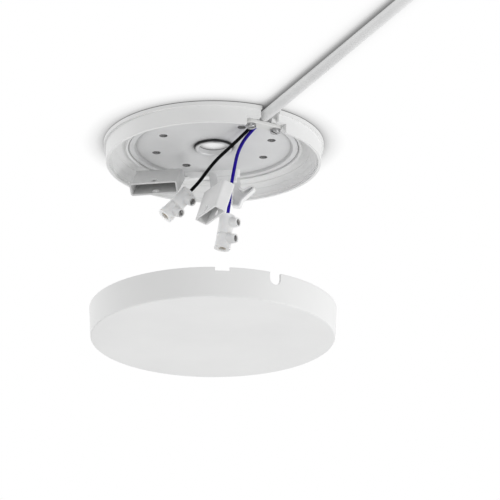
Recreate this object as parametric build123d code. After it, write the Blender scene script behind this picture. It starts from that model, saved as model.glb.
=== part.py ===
import os
from math import tan, radians

from build123d import *

# Ceiling canopy, opened for wiring: a dish on the ceiling, a steel plate in it, a cable that comes
# in at the side through a cord grip, two single terminals on their leads, two insulating sleeves on
# a moulded carrier, and the plain cover, drawn where it hangs when it has been taken off.
# Millimetres, +Z up. Origin: centre of the dish's back face, in the plane of the ceiling.

# Mounting plate
plate_r = 44.3
plate_t = 1.2
entry_hole_r = 8.0          # opening for the wires from the ceiling
collar_w = 1.8              # rolled collar round that opening
collar_h = 1.7
collar_crown = 0.6
plate_seat_w = 2.6          # flat edge, under the dish's ledge
plate_bend_w = 1.2          # slope from there up to the middle, which lies on the ceiling
screw_circle_r = 30.0       # fixing holes, on the usual 60 mm circle
screw_hole_r = 2.2
screw_count = 4
screw_turn = 29.5
wide_circle_r = 31.5        # a second pair of holes, a little wider
wide_count = 2
wide_turn = 164.5

# Base dish
ledge_t = 1.0               # ledge that the plate presses to the ceiling
ledge_lap = 2.0
plate_gap = 0.8             # groove round the plate
ridge_w = 1.3
ridge_h = 0.5               # ridge's shoulders stand this much below the plate's edge
ridge_crown = 0.45          # flat crown between two bevels
groove_w = 1.9              # groove between ridge and cove
groove_h = 1.2
cove_w = 5.9
cove_bulge = 1.5
cove_steps = 2
cove_step = 0.35
lip_step = 0.8
lip_h = 1.6
rim_w = 1.7
dish_depth = 10.8
dish_wall = 1.6
channel_floor = 4.2         # from the cove's end up to the channel
dish_draft = 0.3
flange_w = 1.2              # edge band against the ceiling
flange_t = 2.0
rib_count = 12
rib_t = 1.2

# Cable, side entry and cord grip
cable_d = 5.6
cable_clear = 0.3           # between the cable and the ceiling
entry_az = -60.0            # place of the entry on the dish
cable_az = -65.0            # heading of the cable across the ceiling
cable_in = 11.0             # from the dish's wall to the end of the sheath
cable_run = 180.0           # from the dish's wall to the saddle's stop
slot_clear = 0.8
notch_w = 10.6              # cut in the outer wall
window_w = 23.2
post_r = 3.2
post_pitch = 14.4
grip_shift = 1.3            # notch and grip stand this much to the right of the window's middle
grip_inset = 7.2            # from the dish's wall in to the grip
grip_gap = 0.1              # cable to bar
bar_l = 21.0
bar_w = 6.2
bar_t = 1.8
bar_edge = 0.6
screw_d = 2.8
screw_fit = 0.1
screw_len = 6.0
head_d = 5.2
head_t = 1.9
slot_w = 0.9
slot_depth = 0.8

# Saddle on the ceiling, at the far end of the cable
saddle_l = 26.0
saddle_w = 14.0
saddle_t = 9.4
saddle_edge = 2.0
saddle_stop = 9.0           # depth of the cable in the saddle
saddle_fit = 0.2
saddle_screw_d = 3.4
saddle_head_d = 6.6

# Leads
lead_d = 1.8
lead_pitch = 2.0
lead_straight = 7.0         # straight at each end
lead_drop = 0.7             # below the middle of the cable, to pass under the plate

# Terminals
term_l = 18.7
term_d = 8.0
term_bore = 4.6
term_collar_d = 8.6
term_collar_l = 1.6
term_foot_l = 3.0           # wide collar at the other end
term_waist_l = 0.8
term_waist_at = 10.6
term_waist_t = 0.5
tower_d = 6.2               # at the barrel
tower_tip_d = 4.8
tower_h = 7.6
tower_pitch = 9.1
tower_first = 4.2           # from the lead's end of the housing
barrel_fit = 0.1
barrel_wall = 0.7
barrel_inset = 1.2
clamp_d = 3.3
clamp_fit = 0.1
clamp_l = 6.3
clamp_gap = 0.1             # clamping screw to lead

# Sleeves
sleeve_w = 26.0
sleeve_t = 7.2
sleeve_l = 16.2
sleeve_wall = 0.9
sleeve_corner = 1.4
sleeve_hole_d = 3.6
sleeve_hole_z = 2.8
left_out = 30.2             # places of the sleeves' mouths, from the middle of the carrier's bar
left_near = 23.5
left_drop = 20.1
middle_out = 0.1
middle_near = 30.8
middle_drop = 38.3

# Carrier of the sleeves, under the far side of the plate
carrier_l = 31.0
carrier_w = 3.6
carrier_t = 3.8
carrier_x = -1.5
carrier_inset = 8.8         # from the plate's edge in to the middle of the bar
carrier_turn = -10.0
peg_d = 3.0
peg_fit = 0.1
peg_head_d = 4.6
peg_head_t = 0.8            # flare, sunk in the plate
peg_sink = 0.1
peg_pitch = 15.0
strap_w = 4.0
strap_t = 1.2
left_strap_at = (8.5, 1.0)  # on the roof of the sleeve
middle_strap_at = (-7.0, 0.5)
left_strap_bow = -1.0
middle_strap_bow = 2.5
block_l = 12.4              # deep part of the bar
block_h = 3.4
ear_l = 12.6                # hollow ear on the stem at the bar's right end
ear_h = 10.8
ear_w = 4.0
ear_t = 0.9
ear_drop = 3.6              # from the bar down to the ear

# Cover
cover_gap = 4.5             # between the dish's flange and the cover's wall
cover_wall = 1.5
cover_depth = 15.6
cover_draft = 0.8
cover_edge = 0.8
cover_drop = 92.5           # from the ceiling to the rim of the cover, as it hangs
cover_ribs = 6
cover_rib_t = 1.4
cover_rib_h = 9.0
cover_rib_clear = 0.35
cable_notch_clear = 0.3
pry_w = 7.4
pry_h = 1.9
pry_az = -85.2

# Sizes that follow from those above
plate_z = -(ledge_t + plate_t)
carrier_y = plate_r - carrier_inset
seat_in = plate_r - plate_seat_w
bend_in = seat_in - plate_bend_w
ridge_in = plate_r + plate_gap
ridge_out = ridge_in + ridge_w
ridge_z = plate_z - ridge_h
groove_out = ridge_out + groove_w
groove_z = ridge_z + groove_h
cove_out = groove_out + cove_w
rim_in = cove_out + lip_step
dish_r = rim_in + rim_w
flange_r = dish_r + flange_w
grip_r = dish_r - grip_inset
cable_z = -cable_clear - cable_d / 2
post_z = -cable_clear - cable_d - grip_gap
cover_r = flange_r + cover_gap + cover_wall

entry = Rot(0, 0, entry_az)
cable_start = Vector(dish_r, 0).rotate(Axis.Z, entry_az)
cable_dir = Vector(1, 0).rotate(Axis.Z, cable_az)
cable_frame = Plane(origin=cable_start + Vector(0, 0, cable_z), x_dir=(0, 0, 1), z_dir=cable_dir)


def bowed(start, end, bulge):
    """Arc from start to end that bows to the left of that way by bulge."""
    a, b = Vector(*start), Vector(*end)
    side = (b - a).normalized().rotate(Axis.Z, 90)
    return ThreePointArc(a, (a + b) / 2 + side * bulge, b)


def turned(outline):
    """Solid of revolution about Z of an outline drawn in radius and height."""
    return revolve(Plane.XZ * make_face(outline), Axis.Z)


def rod(d, length, z=0):
    return Pos(0, 0, z) * Cylinder(d / 2, length, align=(Align.CENTER, Align.CENTER, Align.MIN))


def slotted_screw(shank_d, shank_l, cap_d, cap_t):
    """Screw with its head below z = 0 and its shank above it."""
    head = fillet(rod(cap_d, cap_t, -cap_t).edges().group_by(Axis.Z)[0], cap_t * 0.2)
    groove = Pos(0, 0, -cap_t + slot_depth / 2) * Box(cap_d * 2, slot_w, slot_depth)
    return head + rod(shank_d, shank_l) - groove


# The dish, moulded with a ribbed channel behind its cove
cove_top = (groove_out, groove_z)
cove_end = (cove_out, -dish_depth + lip_h)
outline = Polyline(
    (flange_r, 0),
    (plate_r - ledge_lap, 0),
    (plate_r - ledge_lap, -ledge_t),
    (ridge_in, -ledge_t),
    (ridge_in, ridge_z),
)
ridge_top = ridge_z - ridge_crown
outline += Polyline(
    (ridge_in, ridge_z),
    (ridge_in + ridge_w / 3, ridge_top),
    (ridge_out - ridge_w / 3, ridge_top),
    (ridge_out, ridge_z),
    (ridge_out, groove_z),
    cove_top,
)
cove = bowed(cove_top, (cove_out, cove_end[1] + cove_steps * cove_step), cove_bulge)
for k in range(cove_steps + 1):
    a, b = [cove @ (n / (cove_steps + 1)) - Vector(0, k * cove_step) for n in (k, k + 1)]
    outline += bowed(a, b, cove_bulge / (cove_steps + 1) ** 2)
    if k < cove_steps:
        outline += Line(b, b - Vector(0, cove_step))
outline += Polyline(
    cove_end,
    (rim_in, cove_end[1]),
    (rim_in, -dish_depth),
    (dish_r - dish_draft, -dish_depth),
    (dish_r, -flange_t),
    (flange_r, -flange_t),
    (flange_r, 0),
)
base_dish = turned(outline)

back_top = (groove_out, ridge_z + dish_wall)
back_end = (dish_r - dish_wall, cove_end[1] + channel_floor)
channel = turned(
    Polyline(back_top, (back_top[0], dish_wall), (back_end[0], dish_wall), back_end)
    + bowed(back_end, back_top, -cove_bulge / 2)
)
rib = Pos((back_top[0] + back_end[0]) / 2, 0, 0) * Box(dish_r - ridge_in, rib_t, 2 * dish_depth)
rib_turns = [entry_az + (k + 0.5) * 360 / rib_count for k in range(rib_count)]
base_dish -= channel - [Rot(0, 0, turn) * rib for turn in rib_turns]

# Side entry: a wide window at the rim, a notch for the cable above it and a slot through the ledge
cut_r = flange_r - ridge_in
window = Pos(grip_r + cut_r / 2 - bar_w, 0, post_z - dish_depth / 2) * Box(
    cut_r + 2 * bar_w, window_w, dish_depth
)
notch = Pos(flange_r, grip_shift, 0) * Box(2 * (flange_r - cove_out), notch_w, 2 * dish_depth)
base_dish -= entry * (window + notch)
post_spots = [Pos(grip_r, grip_shift + side * post_pitch / 2, post_z) for side in (-1, 1)]
posts = [p * rod(2 * post_r, -post_z) for p in post_spots]
post_holes = [p * rod(screw_d + 2 * screw_fit, screw_len - bar_t + screw_fit) for p in post_spots]
base_dish += [entry * p for p in posts]
slot_l = cable_in + ledge_lap + 3 * flange_w
cable_turn = Pos(cable_start.X, cable_start.Y, 0) * Rot(0, 0, cable_az)
base_dish -= cable_turn * Pos(3 * flange_w - slot_l / 2, 0, 0) * Box(
    slot_l, cable_d + 2 * slot_clear, 2 * dish_depth
)
base_dish -= [entry * p for p in post_holes]

# Steel plate with its fixing holes and the rolled collar of the wire opening
collar_in = (entry_hole_r, -plate_t)
collar_out = (entry_hole_r + collar_w, -plate_t)
collar_z = -plate_t - collar_h + collar_crown
collar_top = (entry_hole_r + collar_w / 2, collar_z - collar_crown)
plate_blank = turned(
    Polyline(
        collar_out,
        (bend_in, -plate_t),
        (seat_in, plate_z),
        (plate_r, plate_z),
        (plate_r, -ledge_t),
        (seat_in, -ledge_t),
        (bend_in, 0),
        (entry_hole_r, 0),
        collar_in,
    )
    + Line(collar_in, (entry_hole_r, collar_z))
    + ThreePointArc((entry_hole_r, collar_z), collar_top, (collar_out[0], collar_z))
    + Line((collar_out[0], collar_z), collar_out)
)
mounting_plate = plate_blank
for circle_r, count, turn in (
    (screw_circle_r, screw_count, screw_turn),
    (wide_circle_r, wide_count, wide_turn),
):
    spots = PolarLocations(circle_r, count, start_angle=turn)
    mounting_plate -= spots * Cylinder(screw_hole_r, 10 * plate_t)

# Cord grip
grip_bar = extrude(Pos(grip_r, grip_shift, post_z) * Rot(0, 0, 90) * SlotOverall(bar_l, bar_w), -bar_t)
grip_bar = fillet(grip_bar.edges().group_by(Axis.Z)[0], bar_edge)
grip_bar -= [p * rod(screw_d + 2 * screw_fit, 4 * bar_t, -2 * bar_t) for p in post_spots]
grip_bar = entry * grip_bar
grip_screw = slotted_screw(screw_d, screw_len, head_d, head_t)
grip_screws = [
    entry * Pos(0, 0, -bar_t) * p * Rot(0, 0, turn) * grip_screw
    for p, turn in zip(post_spots, (35, 110))
]

# Cable along the ceiling and the saddle that holds its far end
supply_cable = cable_frame * rod(cable_d, cable_in + cable_run, -cable_in)
saddle_x = cable_run - saddle_stop + saddle_l / 2
cable_saddle = extrude(Pos(saddle_x, 0, 0) * SlotOverall(saddle_l, saddle_w), -saddle_t)
cable_saddle = fillet(cable_saddle.edges().group_by(Axis.Z)[0], saddle_edge)
cable_saddle = cable_turn * cable_saddle
cable_saddle -= cable_frame * rod(
    cable_d + 2 * saddle_fit, saddle_stop + saddle_l, cable_run - saddle_stop - saddle_l
)
screw_x = saddle_x + saddle_l / 2 - saddle_w / 2
saddle_spot = cable_turn * Pos(screw_x, 0, -saddle_t)
sink = (saddle_head_d - saddle_screw_d) / 2
cone = Pos(0, 0, sink / 2) * Cone(saddle_head_d / 2, saddle_screw_d / 2, sink)
hole_d = saddle_screw_d + 2 * screw_fit
cable_saddle -= saddle_spot * (rod(hole_d, saddle_t) + Pos(0, 0, sink / 2) * Cone(
    saddle_head_d / 2 + screw_fit, hole_d / 2, sink
))
saddle_screw = saddle_spot * (cone + rod(saddle_screw_d, saddle_t - sink, sink))
saddle_screw -= saddle_spot * Pos(0, 0, slot_depth / 2) * Box(2 * saddle_head_d, slot_w, slot_depth)


# Terminals: z runs along the barrel from the end where the lead goes in, x points up the towers
def terminal_housing():
    body = rod(term_d, term_l)
    body += rod(term_collar_d, term_collar_l) + rod(term_collar_d, term_foot_l, term_l - term_foot_l)
    waist = Pos(0, 0, term_waist_at)
    body -= waist * (rod(2 * term_d, term_waist_l) - rod(term_d - 2 * term_waist_t, term_waist_l))
    for z in tower_spots:
        cone = Pos(0, 0, tower_h / 2) * Cone(tower_d / 2, tower_tip_d / 2, tower_h)
        body += Pos(0, 0, z) * Rot(0, 90, 0) * cone
    body -= rod(term_bore, 3 * term_l, -term_l)
    for z in tower_spots:
        body -= Pos(0, 0, z) * Rot(0, 90, 0) * rod(clamp_d + 2 * clamp_fit, 2 * tower_h)
    return body


def terminal_barrel():
    d = term_bore - 2 * barrel_fit
    tube = rod(d, term_l - 2 * barrel_inset, barrel_inset)
    tube -= rod(d - 2 * barrel_wall, term_l, 0)
    for z in tower_spots:
        tube -= Pos(0, 0, z) * Rot(0, 90, 0) * rod(clamp_d + 2 * clamp_fit, tower_h)
    return tube


def clamp_screw():
    screw = rod(clamp_d, clamp_l, lead_d / 2 + clamp_gap)
    screw -= Pos(0, 0, lead_d / 2 + clamp_gap + clamp_l) * Box(2 * clamp_d, slot_w, 2 * slot_depth)
    return screw


def clamp_screws(turns):
    spots = zip(tower_spots, turns)
    return [Pos(0, 0, z) * Rot(0, 90, 0) * Rot(0, 0, turn) * clamp_screw() for z, turn in spots]


tower_spots = (tower_first, tower_first + tower_pitch)
black_frame = Plane(origin=(-13.2, 15.8, -21.0), x_dir=(0.643, -0.572, -0.509), z_dir=(-0.662, -0.082, -0.744))
blue_frame = Plane(origin=(7.2, 15.0, -34.5), x_dir=(0.844, -0.521, -0.125), z_dir=(-0.147, 0, -0.989))
housing = terminal_housing()
barrel = terminal_barrel()


# Leads, from the end of the sheath to under the first screw of each terminal
def lead(points, name):
    pts = [Vector(*p) for p in points]
    runs = [b - a for a, b in zip(pts, pts[1:])]
    radii = []
    for a, b in zip(runs, runs[1:]):
        half = radians(a.get_angle(b)) / 2
        radii.append(0.45 * min(a.length, b.length) / tan(half))
    path = FilletPolyline(*pts, radius=radii)
    tube = sweep(Plane(origin=pts[0], z_dir=runs[0]) * Circle(lead_d / 2), path)
    area = 3.14159265 * lead_d**2 / 4
    print(name, "radii", [round(r, 1) for r in radii], "length", round(path.length, 1),
          "volume ratio", round(tube.volume / (area * path.length), 4))
    return tube


def lead_start(side):
    """Two points that lead straight out of the end of the sheath."""
    return [
        cable_frame.from_local_coords((-lead_drop, side * lead_pitch / 2, z))
        for z in (-cable_in, -cable_in - lead_straight)
    ]


def lead_end(frame):
    return [frame.from_local_coords((0, 0, z)) for z in (-lead_straight, tower_spots[0] + clamp_d / 2)]


black_mid = [(11.2, -19.5, -7.2), (0.3, -1.5, -10.4)]
blue_mid = [(16.0, -20.0, -5.6), (12.5, -7.5, -8.0), (10.8, 3.5, -12.4), (9.2, 11.5, -18.4)]
black_lead = lead([*lead_start(1), *black_mid, *lead_end(black_frame)], "black lead")
blue_lead = lead([*lead_start(-1), *blue_mid, *lead_end(blue_frame)], "blue lead")


# Sleeves: flat boxes, open at the lower end, with a cross hole near the mouth
def sleeve_block(grow=0.0):
    block = Pos(0, 0, sleeve_l / 2) * Box(sleeve_w - 2 * grow, sleeve_t - 2 * grow, sleeve_l)
    return fillet(block.edges().filter_by(Axis.Z), sleeve_corner - grow)


def sleeve():
    body = sleeve_block() - Pos(0, 0, -sleeve_wall) * sleeve_block(sleeve_wall)
    body -= Pos(0, 0, sleeve_hole_z) * Rot(90, 0, 0) * Cylinder(sleeve_hole_d / 2, 2 * sleeve_t)
    return body


left_spot = Vector(carrier_x, carrier_y) + Vector(-left_out, -left_near, -left_drop)
middle_spot = Vector(carrier_x, carrier_y) + Vector(-middle_out, -middle_near, -middle_drop)
left_frame = Plane(origin=left_spot, x_dir=(0.967, -0.253, -0.036), z_dir=(0.203, 0.675, 0.709))
middle_frame = Plane(origin=middle_spot, x_dir=(0.411, -0.910, -0.055), z_dir=(0.285, 0.072, 0.956))
left_sleeve = left_frame * sleeve()
middle_sleeve = middle_frame * sleeve()


# Carrier: a bar staked to the plate, a strap to the roof of each sleeve, a block and a hollow ear
def strap(start, end, bulge):
    """Band from start to end, bowed in the upright plane through both."""
    a, b = Vector(*start), Vector(*end)
    flat = Vector(b.X - a.X, b.Y - a.Y, 0)
    plane = Plane(origin=a, x_dir=flat, z_dir=flat.cross(Vector(0, 0, 1)))
    band = trace(bowed((0, 0), (flat.length, b.Z - a.Z), bulge), strap_t)
    return extrude(plane * band, strap_w / 2, both=True)


carrier_frame = Pos(carrier_x, carrier_y, -plate_t) * Rot(0, 0, carrier_turn)
bar = extrude(SlotOverall(carrier_l, carrier_w), -carrier_t)
bar = fillet(bar.edges().group_by(Axis.Z)[0], carrier_t * 0.15)
block_spot = Pos((carrier_l - carrier_w - block_l) / 2, 0, -carrier_t - block_h / 2)
block = block_spot * Box(block_l, carrier_w, block_h)
bar += fillet(block.edges().group_by(Axis.Z)[0], ear_t / 2)
ear_spot = Pos((carrier_l - carrier_w) / 2 - 3 * ear_t, 0, -carrier_t - block_h - ear_drop)
ear_shape = [(0.30, 0.0), (0.51, -0.16), (0.87, 0.04), (1.0, -0.05), (0.87, -0.21), (0.63, -0.45),
             (0.43, -0.66), (0.35, -0.96), (0.05, -0.90), (0.0, -0.36)]
ear_points = [(x * ear_l, z * ear_h) for x, z in ear_shape]
ear_rim = FilletPolyline(*ear_points, radius=ear_t * 0.7)
ear = extrude(Plane.XZ * trace(ear_rim, ear_t), ear_w / 2, both=True)
ear += Pos(0, ear_w / 2, 0) * extrude(Plane.XZ * make_face(Polyline(*ear_points, close=True)), ear_t)
stem_h = ear_drop + block_h / 2 + ear_h / 4
ear += Pos(0.2 * ear_l, (ear_w - ear_t) / 2, stem_h / 2 - ear_h / 4) * Box(0.3 * ear_l, ear_t, stem_h)
terminal_carrier = carrier_frame * (bar + ear_spot * ear) - plate_blank
flare = Pos(0, 0, plate_t - peg_head_t / 2)
peg = rod(peg_d, plate_t - peg_sink)
peg += flare * Pos(0, 0, -peg_sink) * Cone(peg_d / 2, peg_head_d / 2, peg_head_t)
peg_hole = Cylinder(peg_d / 2 + peg_fit, 10 * plate_t)
peg_hole += flare * Cone(peg_d / 2 + peg_fit, peg_head_d / 2 + peg_fit, peg_head_t)
for side in (-1, 1):
    peg_spot = carrier_frame * Pos(side * peg_pitch / 2, 0, 0)
    terminal_carrier += peg_spot * peg
    mounting_plate -= peg_spot * peg_hole
left_roof = left_frame.from_local_coords((*left_strap_at, sleeve_l - sleeve_wall / 2))
middle_roof = middle_frame.from_local_coords((*middle_strap_at, sleeve_l - sleeve_wall / 2))
left_root = carrier_frame * Pos(-carrier_l / 2 + strap_w / 2, 0, -carrier_t / 2)
middle_root = carrier_frame * Pos(0, 0, -carrier_t / 2)
terminal_carrier += strap(left_root.position, left_roof, left_strap_bow)
terminal_carrier += strap(middle_root.position, middle_roof, middle_strap_bow)
terminal_carrier -= left_frame * sleeve_block() + middle_frame * sleeve_block()

# Cover: a shallow cup with a notch for the cable, a pry notch and inner ribs that grip the flange
rim_z = -cover_drop
floor_z = rim_z - cover_depth
foot_r = cover_r - cover_draft
shell = make_face(Polyline((0, floor_z), (foot_r, floor_z), (cover_r, rim_z), (0, rim_z), (0, floor_z)))
shell = fillet(shell.vertices().sort_by(lambda v: v.X - v.Y)[-1], cover_edge)
hollow = make_face(Polyline(
    (0, floor_z + cover_wall),
    (foot_r - cover_wall, floor_z + cover_wall),
    (cover_r - cover_wall, rim_z),
    (cover_r - cover_wall, rim_z + cover_wall),
    (0, rim_z + cover_wall),
    (0, floor_z + cover_wall),
))
cover_inside = revolve(Plane.XZ * hollow, Axis.Z)
cover = revolve(Plane.XZ * shell, Axis.Z) - cover_inside
cover_rib = Pos(cover_r - cover_wall / 2, 0, floor_z + cover_wall / 2 + cover_rib_h / 2) * Box(
    2 * (cover_gap - cover_rib_clear) + cover_wall, cover_rib_t, cover_rib_h + cover_wall
)
for k in range(cover_ribs):
    ribs = Rot(0, 0, entry_az + 180 / cover_ribs + k * 360 / cover_ribs) * cover_rib
    cover += ribs & cover_inside
cable_notch_r = cable_d / 2 + cable_notch_clear
notch_cut = Rot(0, 90, 0) * rod(2 * cable_notch_r, 4 * cover_wall) + Pos(
    2 * cover_wall, 0, cable_d
) * Box(4 * cover_wall, 2 * cable_notch_r, 2 * cable_d)
wall_spot = entry * Pos(cover_r - 3 * cover_wall, 0, rim_z + cable_z)
cover -= wall_spot * notch_cut
cover -= Rot(0, 0, pry_az) * Pos(cover_r, 0, rim_z) * Box(6 * cover_wall, pry_w, 2 * pry_h)

nodes = {
    "base_dish": base_dish,
    "mounting_plate": mounting_plate,
    "grip_bar": grip_bar,
    "grip_screws": Compound(children=grip_screws),
    "supply_cable": supply_cable,
    "cable_saddle": cable_saddle,
    "saddle_screw": saddle_screw,
    "black_lead": black_lead,
    "blue_lead": blue_lead,
    "black_terminal_housing": black_frame * housing,
    "black_terminal_barrel": black_frame * barrel,
    "black_terminal_screws": Compound(children=[black_frame * s for s in clamp_screws((20, 75))]),
    "blue_terminal_housing": blue_frame * housing,
    "blue_terminal_barrel": blue_frame * barrel,
    "blue_terminal_screws": Compound(children=[blue_frame * s for s in clamp_screws((60, 10))]),
    "terminal_carrier": terminal_carrier,
    "left_sleeve": left_sleeve,
    "middle_sleeve": middle_sleeve,
    "cover": cover,
}
os.makedirs("parts", exist_ok=True)
for name, solid in nodes.items():
    export_step(solid, f"parts/{name}.step")
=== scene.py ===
import math

import bpy
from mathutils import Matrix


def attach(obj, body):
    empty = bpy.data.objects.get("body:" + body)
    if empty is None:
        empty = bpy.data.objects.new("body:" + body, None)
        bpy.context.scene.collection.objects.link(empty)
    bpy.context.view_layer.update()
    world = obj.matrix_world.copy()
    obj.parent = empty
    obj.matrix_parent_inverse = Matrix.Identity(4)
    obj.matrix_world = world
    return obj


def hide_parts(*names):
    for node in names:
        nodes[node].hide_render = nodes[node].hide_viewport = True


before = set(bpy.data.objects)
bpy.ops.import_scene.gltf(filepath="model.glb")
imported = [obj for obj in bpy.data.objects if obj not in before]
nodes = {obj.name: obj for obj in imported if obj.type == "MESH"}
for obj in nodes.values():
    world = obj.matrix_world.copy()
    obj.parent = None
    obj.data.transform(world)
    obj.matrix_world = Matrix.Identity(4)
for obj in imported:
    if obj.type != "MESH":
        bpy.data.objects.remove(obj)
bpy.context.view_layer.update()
print("frame loaded:", len(nodes), "nodes")


def deselectAll():
    if bpy.context.mode != "OBJECT":
        bpy.ops.object.mode_set(mode="OBJECT")
    bpy.ops.object.select_all(action="DESELECT")


# camera, below the ceiling and looking up
viewSet = {
    "aim": (0.01911, 0.0, -0.05936),
    "distance": 1.7585,
    "rise": 20.71,  # degrees that the camera looks up
    "width": 0.260,  # seen at the aim point
    "sensor": 36.0,
    "farthest": 50.0,
}


def placeCamera(cfg):
    rise = math.radians(cfg["rise"])
    aim = cfg["aim"]
    back = cfg["distance"] * math.cos(rise)
    down = cfg["distance"] * math.sin(rise)
    stand = (aim[0], aim[1] - back, aim[2] - down)
    bpy.ops.object.camera_add(location=stand, rotation=(math.pi / 2 + rise, 0, 0))
    camera = bpy.context.object
    camera.name = "photoCamera"
    camera.data.sensor_width = cfg["sensor"]
    camera.data.lens = cfg["sensor"] * cfg["distance"] / cfg["width"]
    camera.data.clip_end = cfg["farthest"]
    bpy.context.scene.camera = camera


deselectAll()
placeCamera(viewSet)
print("camera placed")


# node tree helpers
def newFinish(name):
    mat = bpy.data.materials.new(name)
    mat.use_nodes = True
    tree = mat.node_tree
    coords = tree.nodes.new("ShaderNodeTexCoord")
    return mat, tree, tree.nodes["Principled BSDF"], coords.outputs["Object"]


def noiseOf(tree, where, scale, detail=3.0, rough=0.55):
    noise = tree.nodes.new("ShaderNodeTexNoise")
    noise.inputs["Scale"].default_value = scale
    noise.inputs["Detail"].default_value = detail
    noise.inputs["Roughness"].default_value = rough
    tree.links.new(where, noise.inputs["Vector"])
    return noise.outputs["Fac"]


def rangeOf(tree, value, low, high, fromLow=0.3, fromHigh=0.7):
    spread = tree.nodes.new("ShaderNodeMapRange")
    spread.inputs["From Min"].default_value = fromLow
    spread.inputs["From Max"].default_value = fromHigh
    spread.inputs["To Min"].default_value = low
    spread.inputs["To Max"].default_value = high
    tree.links.new(value, spread.inputs["Value"])
    return spread.outputs["Result"]


def tintOf(tree, value, dark, light, low=0.3, high=0.7):
    ramp = tree.nodes.new("ShaderNodeValToRGB")
    ends = ramp.color_ramp.elements
    ends[0].position, ends[1].position = low, high
    ends[0].color, ends[1].color = (*dark, 1), (*light, 1)
    tree.links.new(value, ramp.inputs["Fac"])
    return ramp.outputs["Color"]


def mathOf(tree, operation, *values, clamp=False):
    step = tree.nodes.new("ShaderNodeMath")
    step.operation = operation
    step.use_clamp = clamp
    for socket, value in zip(step.inputs, values):
        if isinstance(value, (int, float)):
            socket.default_value = value
        else:
            tree.links.new(value, socket)
    return step.outputs[0]


# mixes a dark tint over a colour by a share: painted reflection and painted shade on the plate
def paintedDarkeningOf(tree, share, base, tint):
    mix = tree.nodes.new("ShaderNodeMixRGB")
    mix.inputs["Color2"].default_value = (*tint, 1)
    tree.links.new(share, mix.inputs["Fac"])
    tree.links.new(base, mix.inputs["Color1"])
    return mix.outputs["Color"]


def nearnessOf(tree, reach, samples, alone=False):
    nearby = tree.nodes.new("ShaderNodeAmbientOcclusion")
    nearby.samples = samples
    nearby.only_local = alone
    nearby.inputs["Distance"].default_value = reach
    return nearby.outputs["AO"]


def rayShare(tree, *kinds):
    path = tree.nodes.new("ShaderNodeLightPath")
    share = path.outputs[kinds[0]]
    for kind in kinds[1:]:
        share = mathOf(tree, "MAXIMUM", share, path.outputs[kind])
    return share


def mixInto(tree, out, share, first, second):
    mix = tree.nodes.new("ShaderNodeMixShader")
    tree.links.new(share, mix.inputs["Fac"])
    tree.links.new(first, mix.inputs[1])
    tree.links.new(second, mix.inputs[2])
    tree.links.new(mix.outputs[0], out.inputs["Surface"])


wornEdge = 0.00025  # radius of the softened edges, in metres
edgeSamples = 6


def bumpOf(tree, shader, height, distance, strength, edge=wornEdge):
    soft = tree.nodes.new("ShaderNodeBevel")
    soft.samples = edgeSamples
    soft.inputs["Radius"].default_value = edge
    bump = tree.nodes.new("ShaderNodeBump")
    tree.links.new(soft.outputs["Normal"], bump.inputs["Normal"])
    bump.inputs["Distance"].default_value = distance
    bump.inputs["Strength"].default_value = strength
    tree.links.new(height, bump.inputs["Height"])
    tree.links.new(bump.outputs["Normal"], shader.inputs["Normal"])


# moulded plastic, with a faint flow mottle and a spark-eroded grain
def mouldedFinish(name, cfg):
    mat, tree, shader, where = newFinish(name)
    mottle = noiseOf(tree, where, cfg["mottle"], detail=4.0)
    grain = noiseOf(tree, where, cfg["grain"], detail=2.0, rough=0.6)
    tree.links.new(tintOf(tree, mottle, cfg["dark"], cfg["light"]), shader.inputs["Base Color"])
    tree.links.new(rangeOf(tree, grain, *cfg["rough"]), shader.inputs["Roughness"])
    shader.inputs["Specular IOR Level"].default_value = cfg["gloss"]
    bumpOf(tree, shader, grain, cfg["depth"], cfg["relief"], cfg.get("edge", wornEdge))
    return mat


# a band round the axis, broken into patches
def ringShare(tree, where, cfg):
    flat = tree.nodes.new("ShaderNodeVectorMath")
    flat.operation = "MULTIPLY"
    flat.inputs[1].default_value = (1, 1, 0)
    tree.links.new(where, flat.inputs[0])
    radius = tree.nodes.new("ShaderNodeVectorMath")
    radius.operation = "LENGTH"
    tree.links.new(flat.outputs["Vector"], radius.inputs[0])
    inner, outer, soft = cfg["from"], cfg["to"], cfg["soft"]
    rise = rangeOf(tree, radius.outputs["Value"], 0, 1, inner - soft, inner)
    fall = rangeOf(tree, radius.outputs["Value"], 1, 0, outer, outer + soft)
    cloud = noiseOf(tree, where, cfg["patch"], detail=1.0)
    patch = rangeOf(tree, cloud, cfg["least"], 1, *cfg["patchSpan"])
    return mathOf(tree, "MULTIPLY", mathOf(tree, "MULTIPLY", rise, fall), patch)


# rolled sheet with a zinc skin: long streaks and soft blotches,
# painted dark reflection round the collar and painted shade in the holes and corners
def sheetSteelFinish(name, cfg):
    mat, tree, shader, where = newFinish(name)
    along = tree.nodes.new("ShaderNodeMapping")
    along.inputs["Scale"].default_value = cfg["stretch"]
    along.inputs["Rotation"].default_value = (0, 0, cfg["turn"])
    tree.links.new(where, along.inputs["Vector"])
    streak = noiseOf(tree, along.outputs["Vector"], cfg["streak"], rough=0.6)
    blotch = noiseOf(tree, where, cfg["blotch"], detail=5.0)
    skin = tintOf(tree, blotch, cfg["dark"], cfg["light"])
    # a patchy dark band on the collar: painted dark reflection
    skin = paintedDarkeningOf(tree, ringShare(tree, where, cfg["ring"]), skin, cfg["ring"]["tint"])
    # painted shade: the colour goes near-black where the plate's own faces close in, as in the
    # holes
    paintedShade = cfg["paintedShade"]
    corner = nearnessOf(tree, paintedShade["reach"], paintedShade["samples"], alone=True)
    skin = paintedDarkeningOf(tree, rangeOf(tree, corner, 1, 0, *paintedShade["span"]), skin, paintedShade["tint"])
    tree.links.new(skin, shader.inputs["Base Color"])
    tree.links.new(rangeOf(tree, streak, *cfg["rough"]), shader.inputs["Roughness"])
    shader.inputs["Metallic"].default_value = cfg["metal"]
    bumpOf(tree, shader, streak, cfg["depth"], cfg["relief"])
    return mat


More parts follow.
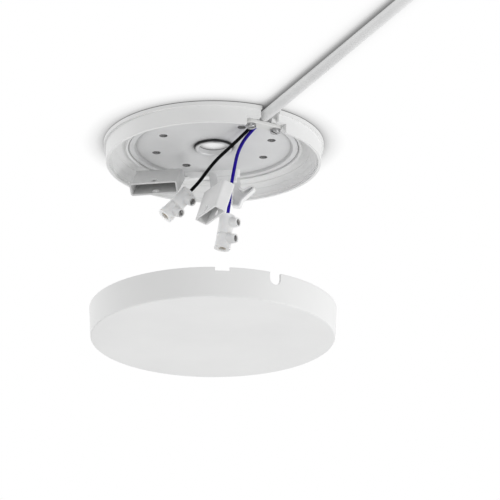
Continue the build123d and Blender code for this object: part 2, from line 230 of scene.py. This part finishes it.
# turned or drawn metal of the small parts
def smallMetalFinish(name, cfg):
    mat, tree, shader, where = newFinish(name)
    speck = noiseOf(tree, where, cfg["speck"], detail=4.0, rough=0.65)
    tree.links.new(tintOf(tree, speck, cfg["dark"], cfg["light"]), shader.inputs["Base Color"])
    tree.links.new(rangeOf(tree, speck, *cfg["rough"]), shader.inputs["Roughness"])
    shader.inputs["Metallic"].default_value = 1.0
    bumpOf(tree, shader, speck, cfg["depth"], cfg["relief"])
    return mat


# milky moulding that lets some light through
def milkyFinish(name, cfg):
    mat, tree, shader, where = newFinish(name)
    cloud = noiseOf(tree, where, cfg["cloud"], detail=4.0)
    tree.links.new(tintOf(tree, cloud, cfg["dark"], cfg["light"]), shader.inputs["Base Color"])
    tree.links.new(rangeOf(tree, cloud, *cfg["rough"]), shader.inputs["Roughness"])
    shader.inputs["Transmission Weight"].default_value = cfg["clear"]
    shader.inputs["IOR"].default_value = cfg["ior"]
    shader.inputs["Subsurface Weight"].default_value = cfg["glow"]
    shader.inputs["Subsurface Radius"].default_value = cfg["glowTint"]
    shader.inputs["Subsurface Scale"].default_value = cfg["glowDepth"]
    bumpOf(tree, shader, cloud, cfg["depth"], cfg["relief"])
    return mat


mouldedSets = {
    "dishWhite": {
        "mottle": 26, "grain": 2600, "dark": (0.800, 0.802, 0.800), "light": (0.850, 0.852, 0.848),
        "rough": (0.42, 0.56), "gloss": 0.38, "depth": 0.00003, "relief": 0.30, "edge": 0.00012},
    "coverWhite": {
        "mottle": 20, "grain": 2600, "dark": (0.815, 0.817, 0.815), "light": (0.860, 0.862, 0.858),
        "rough": (0.42, 0.56), "gloss": 0.38, "depth": 0.00003, "relief": 0.30},
    "gripWhite": {
        "mottle": 90, "grain": 3200, "dark": (0.65, 0.65, 0.64), "light": (0.73, 0.73, 0.72),
        "rough": (0.36, 0.50), "gloss": 0.45, "depth": 0.00003, "relief": 0.35},
    "saddleWhite": {
        "mottle": 60, "grain": 3000, "dark": (0.78, 0.78, 0.775), "light": (0.84, 0.84, 0.835),
        "rough": (0.40, 0.54), "gloss": 0.40, "depth": 0.00002, "relief": 0.15},
    "leftSleeve": {
        "mottle": 70, "grain": 2400, "dark": (0.64, 0.642, 0.642), "light": (0.71, 0.712, 0.71),
        "rough": (0.44, 0.60), "gloss": 0.35, "depth": 0.00004, "relief": 0.35},
    "middleSleeve": {
        "mottle": 70, "grain": 2400, "dark": (0.80, 0.802, 0.802), "light": (0.86, 0.862, 0.86),
        "rough": (0.44, 0.60), "gloss": 0.35, "depth": 0.00004, "relief": 0.35},
    "carrierWhite": {
        "mottle": 80, "grain": 2600, "dark": (0.80, 0.802, 0.802), "light": (0.87, 0.872, 0.87),
        "rough": (0.42, 0.58), "gloss": 0.38, "depth": 0.00004, "relief": 0.35},
    "sheathWhite": {
        "mottle": 45, "grain": 1800, "dark": (0.70, 0.702, 0.705), "light": (0.77, 0.772, 0.772),
        "rough": (0.36, 0.50), "gloss": 0.45, "depth": 0.00002, "relief": 0.10},
    "leadBlack": {
        "mottle": 160, "grain": 3600, "dark": (0.001, 0.001, 0.001), "light": (0.004, 0.004, 0.005),
        "rough": (0.60, 0.74), "gloss": 0.06, "depth": 0.00002, "relief": 0.30},
    "leadBlue": {
        "mottle": 160, "grain": 3600, "dark": (0.008, 0.001, 0.20), "light": (0.018, 0.002, 0.34),
        "rough": (0.52, 0.66), "gloss": 0.12, "depth": 0.00002, "relief": 0.30},
}
moulded = {name: mouldedFinish(name, cfg) for name, cfg in mouldedSets.items()}

smallMetalSets = {
    "screwZinc": {
        "speck": 900, "dark": (0.30, 0.30, 0.305), "light": (0.46, 0.46, 0.465),
        "rough": (0.20, 0.36), "depth": 0.00002, "relief": 0.4},
    "clampSteel": {
        "speck": 900, "dark": (0.20, 0.199, 0.197), "light": (0.42, 0.417, 0.413),
        "rough": (0.34, 0.52), "depth": 0.00002, "relief": 0.4},
    "barrelBrass": {
        "speck": 700, "dark": (0.40, 0.31, 0.17), "light": (0.58, 0.47, 0.29),
        "rough": (0.28, 0.46), "depth": 0.00002, "relief": 0.4},
}
smallMetal = {name: smallMetalFinish(name, cfg) for name, cfg in smallMetalSets.items()}

plateSet = {
    "streak": 60, "stretch": (1, 26, 8), "turn": 0.4, "blotch": 34,
    "dark": (0.69, 0.693, 0.696), "light": (0.75, 0.753, 0.756),
    "rough": (0.48, 0.60), "metal": 0.30, "depth": 0.00002, "relief": 0.25,
    # ring: painted dark reflection on the collar, in patches
    "ring": {"from": 0.0097, "to": 0.0100, "soft": 0.0004, "tint": (0.42, 0.42, 0.422),
             "patch": 70, "patchSpan": (0.43, 0.58), "least": 0.10},
    # painted shade in the holes and corners of the plate
    "paintedShade": {"reach": 0.006, "span": (0.74, 0.96), "tint": (0.03, 0.03, 0.03), "samples": 8},
}
plateSteel = sheetSteelFinish("plateSteel", plateSet)

housingSet = {
    "cloud": 240, "dark": (0.92, 0.92, 0.915), "light": (0.96, 0.96, 0.955), "rough": (0.30, 0.44),
    "clear": 0.06, "ior": 1.5, "glow": 0.55, "glowTint": (1.0, 0.95, 0.9), "glowDepth": 0.002,
    "depth": 0.00005, "relief": 0.3,
}
milkyHousing = milkyFinish("milkyHousing", housingSet)
print("finishes made")

nodeFinish = {
    "base_dish": moulded["dishWhite"],
    "mounting_plate": plateSteel,
    "grip_bar": moulded["gripWhite"],
    "grip_screws": smallMetal["screwZinc"],
    "supply_cable": moulded["sheathWhite"],
    "cable_saddle": moulded["saddleWhite"],
    "saddle_screw": smallMetal["screwZinc"],
    "black_lead": moulded["leadBlack"],
    "blue_lead": moulded["leadBlue"],
    "black_terminal_housing": milkyHousing,
    "black_terminal_barrel": smallMetal["barrelBrass"],
    "black_terminal_screws": smallMetal["clampSteel"],
    "blue_terminal_housing": milkyHousing,
    "blue_terminal_barrel": smallMetal["barrelBrass"],
    "blue_terminal_screws": smallMetal["clampSteel"],
    "terminal_carrier": moulded["carrierWhite"],
    "left_sleeve": moulded["leftSleeve"],
    "middle_sleeve": moulded["middleSleeve"],
    "cover": moulded["coverWhite"],
}
for name, mat in nodeFinish.items():
    for slot in nodes[name].material_slots:
        slot.material = mat
print("finishes on", len(nodeFinish), "nodes")

# the cable along the ceiling, a taut line from the grip to the saddle
cableSet = {
    "diameter": 0.0056,
    "az": -65.0,
    "wallR": 0.0567,  # where it crosses the dish's wall
    "wallAz": -60.0,
    "z": -0.0031,
    "along": (-0.011, 0.025, 0.075, 0.125, 0.180),  # from the wall, the first one inside the dish
    "order": 3,
    "steps": 12,  # between two points
    "roundness": 6,
}


def cablePoints(cfg):
    heading = math.radians(cfg["az"])
    wall = math.radians(cfg["wallAz"])
    start = (cfg["wallR"] * math.cos(wall), cfg["wallR"] * math.sin(wall))
    step = (math.cos(heading), math.sin(heading))
    return [(start[0] + t * step[0], start[1] + t * step[1], cfg["z"]) for t in cfg["along"]]


def cordCurve(name, points, cfg, finish):
    line = bpy.data.curves.new(name, "CURVE")
    line.dimensions = "3D"
    spline = line.splines.new("NURBS")
    spline.points.add(len(points) - 1)
    for point, place in zip(spline.points, points):
        point.co = (*place, 1)
    spline.order_u = cfg["order"]
    spline.use_endpoint_u = True
    spline.resolution_u = cfg["steps"]
    line.bevel_depth = cfg["diameter"] / 2
    line.bevel_resolution = cfg["roundness"]
    line.use_fill_caps = True
    line.materials.append(finish)
    piece = bpy.data.objects.new(name, line)
    bpy.context.scene.collection.objects.link(piece)
    return piece


cablePath = cablePoints(cableSet)
cableSheath = cordCurve("cableSheath", cablePath, cableSet, moulded["sheathWhite"])
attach(cableSheath, "canopy")
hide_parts("supply_cable")
print("cable laid")

# ceiling, seen from below only, with the soft shade close to the dish and the cable
ceilingSet = {
    "size": 8.0,
    "cells": 8,
    "gap": 0.0004,  # above the dish's back
    "reach": 0.016,
    "samples": 16,
    "shade": [(0.05, 0.08), (0.40, 0.32), (0.60, 0.54), (0.75, 0.82), (0.94, 1.0)],
}


def paintCeiling(cfg):
    mat = bpy.data.materials.new("ceilingPaint")
    mat.use_nodes = True
    mat.cycles.emission_sampling = "NONE"  # it shows white and lights nothing
    tree = mat.node_tree
    tree.nodes.clear()
    out = tree.nodes.new("ShaderNodeOutputMaterial")
    shade = tree.nodes.new("ShaderNodeValToRGB")
    stops = shade.color_ramp.elements
    while len(stops) < len(cfg["shade"]):
        stops.new(0.5)
    for stop, (place, level) in zip(stops, cfg["shade"]):
        stop.position = place
        stop.color = (level, level, level, 1)
    tree.links.new(nearnessOf(tree, cfg["reach"], cfg["samples"]), shade.inputs["Fac"])
    paint = tree.nodes.new("ShaderNodeEmission")
    tree.links.new(shade.outputs["Color"], paint.inputs["Color"])
    clear = tree.nodes.new("ShaderNodeBsdfTransparent")
    side = tree.nodes.new("ShaderNodeNewGeometry")
    seen = rayShare(tree, "Is Camera Ray", "Is Glossy Ray")
    below = mathOf(tree, "SUBTRACT", seen, side.outputs["Backfacing"], clamp=True)
    mixInto(tree, out, below, clear.outputs[0], paint.outputs[0])
    return mat


def hangCeiling(cfg):
    deselectAll()
    cells = cfg["cells"]
    bpy.ops.mesh.primitive_grid_add(x_subdivisions=cells, y_subdivisions=cells, size=cfg["size"],
                                    location=(0, 0, cfg["gap"]))
    sheet = bpy.context.object
    sheet.name = "ceilingSheet"
    bpy.ops.object.transform_apply(location=True, rotation=True, scale=True)
    sheet.data.flip_normals()
    sheet.data.materials.append(paintCeiling(cfg))


hangCeiling(ceilingSet)
print("ceiling hung")

# room light, stronger from both sides and weaker from straight above and below,
# and a softbox low on the right
lightSet = {
    "room": 0.77,
    "band": 0.38,  # less from above and below
    "wings": 0.34,  # more from both sides
    "lean": (-0.16, 0.22, 0.0),  # more from this way
    "lamps": [
        {"name": "rightSoftbox", "at": (1.02, -0.70, -0.92), "size": 0.5, "power": 9.0},
    ],
}


def lightRoom(cfg):
    world = bpy.data.worlds.new("roomLight")
    bpy.context.scene.world = world
    world.use_nodes = True
    tree = world.node_tree
    tree.nodes.clear()
    out = tree.nodes.new("ShaderNodeOutputWorld")
    way = tree.nodes.new("ShaderNodeTexCoord").outputs["Generated"]
    lean = tree.nodes.new("ShaderNodeVectorMath")
    lean.operation = "DOT_PRODUCT"
    lean.inputs[1].default_value = cfg["lean"]
    tree.links.new(way, lean.inputs[0])
    axes = tree.nodes.new("ShaderNodeSeparateXYZ")
    tree.links.new(way, axes.inputs[0])
    x, z = axes.outputs["X"], axes.outputs["Z"]
    level = mathOf(tree, "ADD", lean.outputs["Value"], cfg["room"])
    level = mathOf(tree, "MULTIPLY_ADD", mathOf(tree, "MULTIPLY", z, z), -cfg["band"], level)
    level = mathOf(tree, "MULTIPLY_ADD", mathOf(tree, "MULTIPLY", x, x), cfg["wings"], level)
    soft = tree.nodes.new("ShaderNodeBackground")
    soft.inputs["Color"].default_value = (1, 1, 1, 1)
    tree.links.new(level, soft.inputs["Strength"])
    white = tree.nodes.new("ShaderNodeBackground")
    white.inputs["Color"].default_value = (1, 1, 1, 1)
    seen = rayShare(tree, "Is Camera Ray", "Is Glossy Ray", "Is Transmission Ray")
    mixInto(tree, out, seen, soft.outputs[0], white.outputs[0])


def hangLamp(cfg):
    deselectAll()
    bpy.ops.object.light_add(type="AREA", location=cfg["at"])
    light = bpy.context.object
    light.name = cfg["name"]
    light.data.size = cfg["size"]
    light.data.energy = cfg["power"]
    light.rotation_euler = light.location.to_track_quat("Z", "Y").to_euler()  # aimed at the origin


lightRoom(lightSet)
for lampSet in lightSet["lamps"]:
    hangLamp(lampSet)
bpy.context.scene.view_settings.view_transform = "Standard"
print("lights on")
